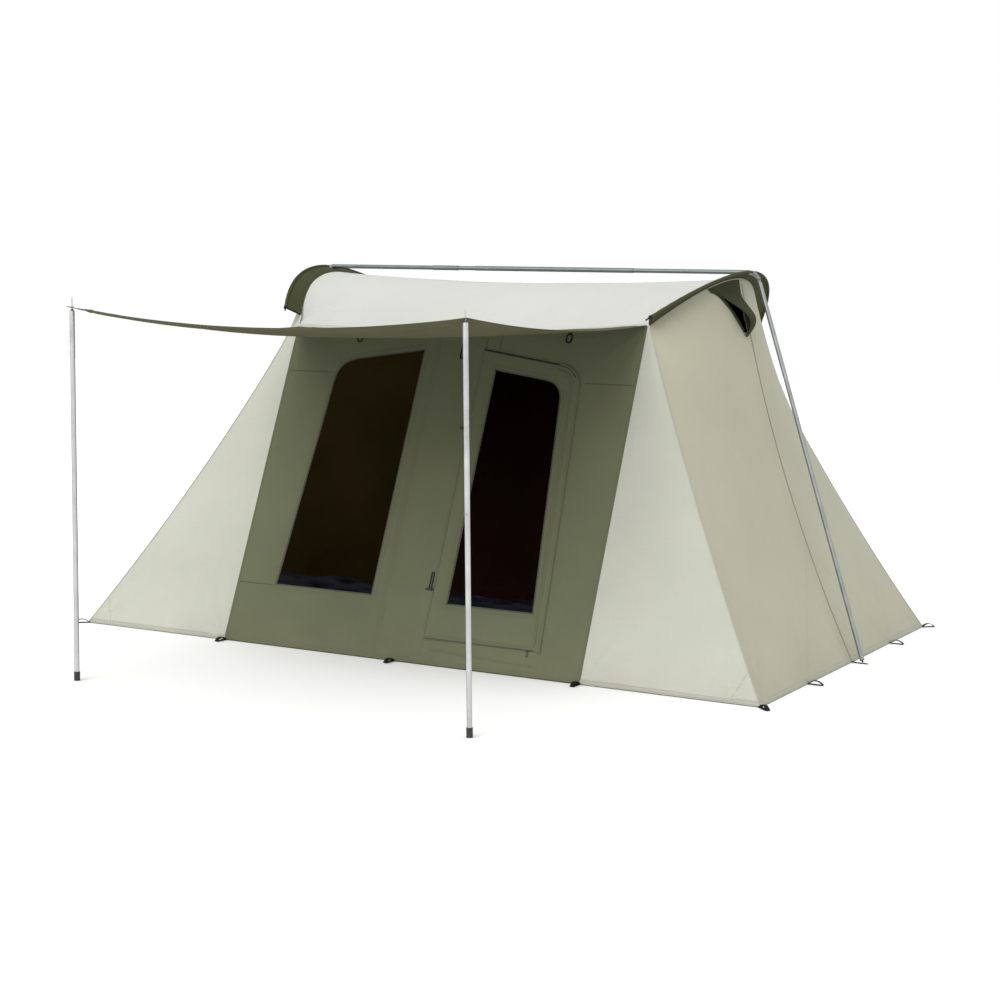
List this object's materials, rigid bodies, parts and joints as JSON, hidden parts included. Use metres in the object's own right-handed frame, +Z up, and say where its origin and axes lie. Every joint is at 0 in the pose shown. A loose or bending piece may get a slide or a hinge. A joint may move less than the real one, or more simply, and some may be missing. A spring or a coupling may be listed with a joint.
{
  "type": "canvas wall tent",
  "caption": "Canvas cabin tent with leaning walls, arched roof on sprung bows, outside ridge pole, leaning end poles, zipped doors, mesh windows, gable vent hoods and a front awning on poles",
  "frame": {"origin": "middle of the floor's underside, on the ground", "axes": "+X along the ridge pole, to the right as one faces the door wall with the awning; +Y from that wall towards the rear wall; +Z up"},
  "size_m": [4.46, 4.567, 2.2145],
  "materials": {
    "green_canvas": "woven, matt",
    "pale_canvas": "woven, matt",
    "roof_canvas": "woven, matt",
    "hood_canvas": "woven, matt",
    "mesh_cloth": "fine mesh",
    "black_webbing": "webbing, matt",
    "navy_cloth": "woven, matt",
    "floor_vinyl": "coated sheet, satin",
    "galvanised_steel": "bright tube",
    "spring_steel": "dark, satin",
    "black_plastic": "matt"
  },
  "bodies": {
    "tent": {"floor_sheet": "floor_vinyl", "front_wall_panel": "green_canvas", "rear_wall_panel": "green_canvas", "front_gore_left": "pale_canvas", "front_gore_right": "pale_canvas", "rear_gore_left": "pale_canvas", "rear_gore_right": "pale_canvas", "end_wall_left": "pale_canvas", "end_wall_right": "pale_canvas", "roof_panel": "roof_canvas", "brow_left": "green_canvas", "brow_right": "green_canvas", "vent_hood_left": "hood_canvas", "vent_hood_right": "hood_canvas", "front_window_mesh": "mesh_cloth", "rear_window_mesh": "mesh_cloth", "front_window_cover_roll": "navy_cloth", "rear_window_cover_roll": "navy_cloth", "front_door_tie_lower": "black_plastic", "front_door_tie_upper": "black_plastic", "rear_door_tie_lower": "black_plastic", "rear_door_tie_upper": "black_plastic", "hanging_loop_left": "black_webbing", "hanging_loop_right": "black_webbing", "bow_rod_left": "spring_steel", "bow_rod_right": "spring_steel", "ridge_end_fitting_left": "galvanised_steel", "ridge_end_fitting_right": "galvanised_steel", "ridge_tube_left": "galvanised_steel", "ridge_tube_right": "galvanised_steel", "ridge_centre_sleeve": "galvanised_steel", "ridge_collar": "galvanised_steel"},
    "front_door": {"front_door_panel": "green_canvas", "front_door_mesh": "mesh_cloth", "front_door_cover_roll": "navy_cloth"},
    "rear_door": {"rear_door_panel": "green_canvas", "rear_door_mesh": "mesh_cloth", "rear_door_cover_roll": "navy_cloth"},
    "front_zip": {"front_door_zip_slider": "black_plastic"},
    "rear_zip": {"rear_door_zip_slider": "black_plastic"},
    "awning": {"awning_sheet": "green_canvas"},
    "awning_pole_left": {"awning_pole_upper_left": "galvanised_steel", "awning_pole_lower_left": "galvanised_steel", "awning_foot_cap_left": "black_plastic"},
    "awning_pole_right": {"awning_pole_upper_right": "galvanised_steel", "awning_pole_lower_right": "galvanised_steel", "awning_foot_cap_right": "black_plastic"},
    "upright_left": {"upright_upper_tube_left": "galvanised_steel", "upright_lower_tube_left": "galvanised_steel", "upright_foot_pin_left": "spring_steel"},
    "upright_right": {"upright_upper_tube_right": "galvanised_steel", "upright_lower_tube_right": "galvanised_steel", "upright_foot_pin_right": "spring_steel"},
    "ridge_left_button": {"ridge_button_left": "galvanised_steel"},
    "ridge_right_button": {"ridge_button_right": "galvanised_steel"},
    "upright_left_button": {"upright_button_left": "galvanised_steel"},
    "upright_right_button": {"upright_button_right": "galvanised_steel"},
    "awning_left_button": {"awning_button_left": "galvanised_steel"},
    "awning_right_button": {"awning_button_right": "galvanised_steel"}
  },
  "joints": [
    {"name": "front_door_swing", "type": "hinge", "parent": "tent", "child": "front_door", "pos_m": [0.165, -1.525, 0], "axis": [0, -0.3649, -0.9311], "range_deg": [0, 56]},
    {"name": "rear_door_swing", "type": "hinge", "parent": "tent", "child": "rear_door", "pos_m": [-0.165, 1.525, 0], "axis": [0, 0.3649, -0.9311], "range_deg": [0, 90]},
    {"name": "front_zip_slide", "type": "slide", "parent": "front_door", "child": "front_zip", "axis": [-1, 0, 0], "range_m": [0, 0.6]},
    {"name": "rear_zip_slide", "type": "slide", "parent": "rear_door", "child": "rear_zip", "axis": [1, 0, 0], "range_m": [0, 0.6]},
    {"name": "awning_lift", "type": "hinge", "parent": "tent", "child": "awning", "pos_m": [0, -0.78986, 1.88], "axis": [-1, 0, 0], "range_deg": [0, 138]},
    {"name": "awning_pole_left_lean", "type": "hinge", "parent": "awning", "child": "awning_pole_left", "pos_m": [-1.0724, -2.94004, 1.88697], "axis": [1, 0, 0], "range_deg": [-12, 12]},
    {"name": "awning_pole_right_lean", "type": "hinge", "parent": "awning", "child": "awning_pole_right", "pos_m": [1.1732, -2.94004, 1.88697], "axis": [1, 0, 0], "range_deg": [-12, 12]},
    {"name": "upright_left_swing", "type": "hinge", "parent": "tent", "child": "upright_left", "pos_m": [-1.478, 0, 2.17], "axis": [0, 1, 0], "range_deg": [0, 50]},
    {"name": "upright_right_swing", "type": "hinge", "parent": "tent", "child": "upright_right", "pos_m": [1.478, 0, 2.17], "axis": [0, -1, 0], "range_deg": [0, 50]},
    {"name": "ridge_left_button_press", "type": "slide", "parent": "tent", "child": "ridge_left_button", "axis": [0, 1, 0], "range_m": [0, 0.004], "stiffness_N_per_m": 400, "springref_m": -0.003},
    {"name": "ridge_right_button_press", "type": "slide", "parent": "tent", "child": "ridge_right_button", "axis": [0, 1, 0], "range_m": [0, 0.004], "stiffness_N_per_m": 400, "springref_m": -0.003},
    {"name": "upright_left_button_press", "type": "slide", "parent": "upright_left", "child": "upright_left_button", "axis": [0, 1, 0], "range_m": [0, 0.004], "stiffness_N_per_m": 400, "springref_m": -0.003},
    {"name": "upright_right_button_press", "type": "slide", "parent": "upright_right", "child": "upright_right_button", "axis": [0, 1, 0], "range_m": [0, 0.004], "stiffness_N_per_m": 400, "springref_m": -0.003},
    {"name": "awning_left_button_press", "type": "slide", "parent": "awning_pole_left", "child": "awning_left_button", "axis": [0, 1, 0], "range_m": [0, 0.004], "stiffness_N_per_m": 400, "springref_m": -0.003},
    {"name": "awning_right_button_press", "type": "slide", "parent": "awning_pole_right", "child": "awning_right_button", "axis": [0, 1, 0], "range_m": [0, 0.004], "stiffness_N_per_m": 400, "springref_m": -0.003}
  ]
}
